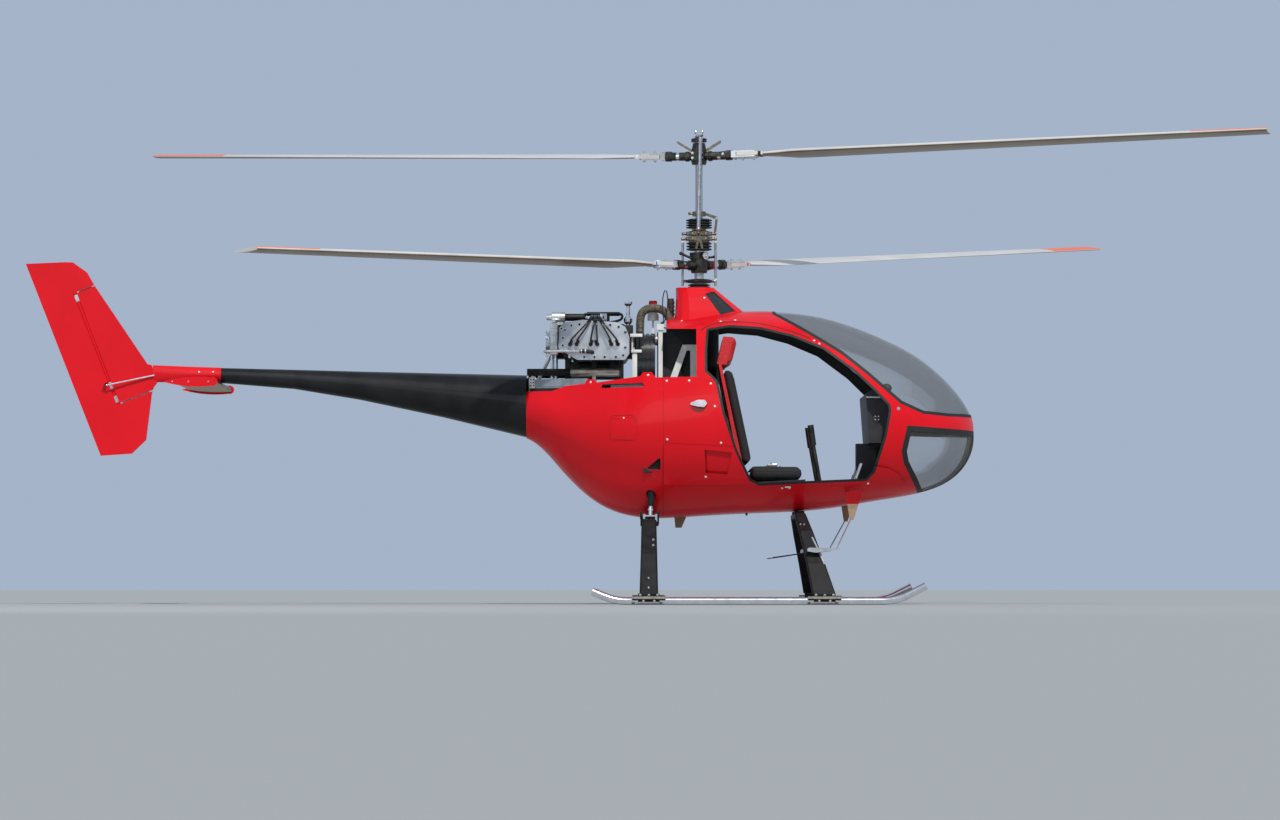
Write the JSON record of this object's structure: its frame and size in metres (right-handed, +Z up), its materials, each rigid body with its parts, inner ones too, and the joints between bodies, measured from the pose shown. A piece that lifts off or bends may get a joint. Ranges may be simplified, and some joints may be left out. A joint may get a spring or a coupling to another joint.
{
  "type": "ultralight helicopter",
  "caption": "Two-seat ultralight helicopter with contra-turning rotors on one mast, open engine bay, doors off, tail fin with rudder, on skids.",
  "frame": {"origin": "centre of the machine's footprint, on the ground under the skids", "axes": "+X forward along the longest extent, +Y to port, +Z up along the masts"},
  "size_m": [7.0082, 4.484, 2.698],
  "materials": {
    "red_paint": "gloss",
    "black_carbon": "semi-gloss",
    "black_satin": "satin",
    "black_rubber": "matt",
    "tinted_glass": "polished",
    "polished_aluminium": "polished",
    "bare_aluminium": "cast",
    "white_paint": "satin",
    "blade_paint": "satin",
    "steel": "brushed",
    "black_fabric": "woven",
    "grey_lining": "matt",
    "hose_rubber": "ribbed",
    "white_plastic": "gloss"
  },
  "bodies": {
    "airframe": {"aerials": "black_satin", "air_hose": "hose_rubber", "boarding_steps": "bare_aluminium", "breather": "black_satin", "cabin_floor": "grey_lining", "cabin_shell": "red_paint", "chin_windows": "tinted_glass", "coolant_bottle": "white_plastic", "cylinder_heads": "bare_aluminium", "dash_console": "grey_lining", "door_seals": "black_rubber", "drive_drum": "black_satin", "engine_block": "bare_aluminium", "engine_deck": "bare_aluminium", "exhausts": "steel", "fairing_windows": "tinted_glass", "filler_neck": "steel", "firewall": "grey_lining", "flight_controls": "black_satin", "front_legs": "black_satin", "gearbox": "bare_aluminium", "mast_fairing": "red_paint", "mast_frame": "white_paint", "pedals": "bare_aluminium", "rear_hull": "red_paint", "rear_legs": "black_satin", "rudder_pushrod": "polished_aluminium", "seat_backs": "black_fabric", "seat_cushions": "black_fabric", "seat_shells": "red_paint", "shock_struts": "steel", "side_handles": "polished_aluminium", "skid_shoes": "black_satin", "skids": "polished_aluminium", "stabilizer": "black_carbon", "stabilizer_caps": "red_paint", "starter_motor": "steel", "swash_base": "black_rubber", "tail_boom": "black_carbon", "tail_fin": "red_paint", "window_seals": "black_rubber", "windscreen": "tinted_glass"},
    "lower_rotor": {"lower_blade_front": "blade_paint", "lower_blade_rear": "blade_paint", "lower_grips": "bare_aluminium", "lower_hub": "black_satin", "lower_swashplate": "bare_aluminium", "outer_mast": "steel"},
    "upper_rotor": {"counterweights": "steel", "inner_mast": "steel", "scissor_link": "bare_aluminium", "top_plate": "bare_aluminium", "trim_rods": "bare_aluminium", "upper_blade_front": "blade_paint", "upper_blade_rear": "blade_paint", "upper_grips": "bare_aluminium", "upper_hub": "black_satin", "upper_swashplate": "bare_aluminium"},
    "rudder": {"rudder": "red_paint"}
  },
  "joints": [
    {"name": "lower_rotor_spin", "type": "hinge", "parent": "airframe", "child": "lower_rotor", "pos_m": [0.32592, 0.00293, 1.924], "axis": [0, 0, 1], "continuous": true},
    {"name": "upper_rotor_spin", "type": "hinge", "parent": "airframe", "child": "upper_rotor", "pos_m": [0.32592, 0.00293, 2.546], "axis": [0, 0, 1], "continuous": true},
    {"name": "rudder_hinge", "type": "hinge", "parent": "airframe", "child": "rudder", "pos_m": [-2.97608, 0.00293, 1.14], "axis": [-0.368, 0, 0.9298], "range_deg": [-25, 25]}
  ],
  "couplings": [
    {"joint": "upper_rotor_spin", "follows": "lower_rotor_spin", "ratio": -1}
  ]
}
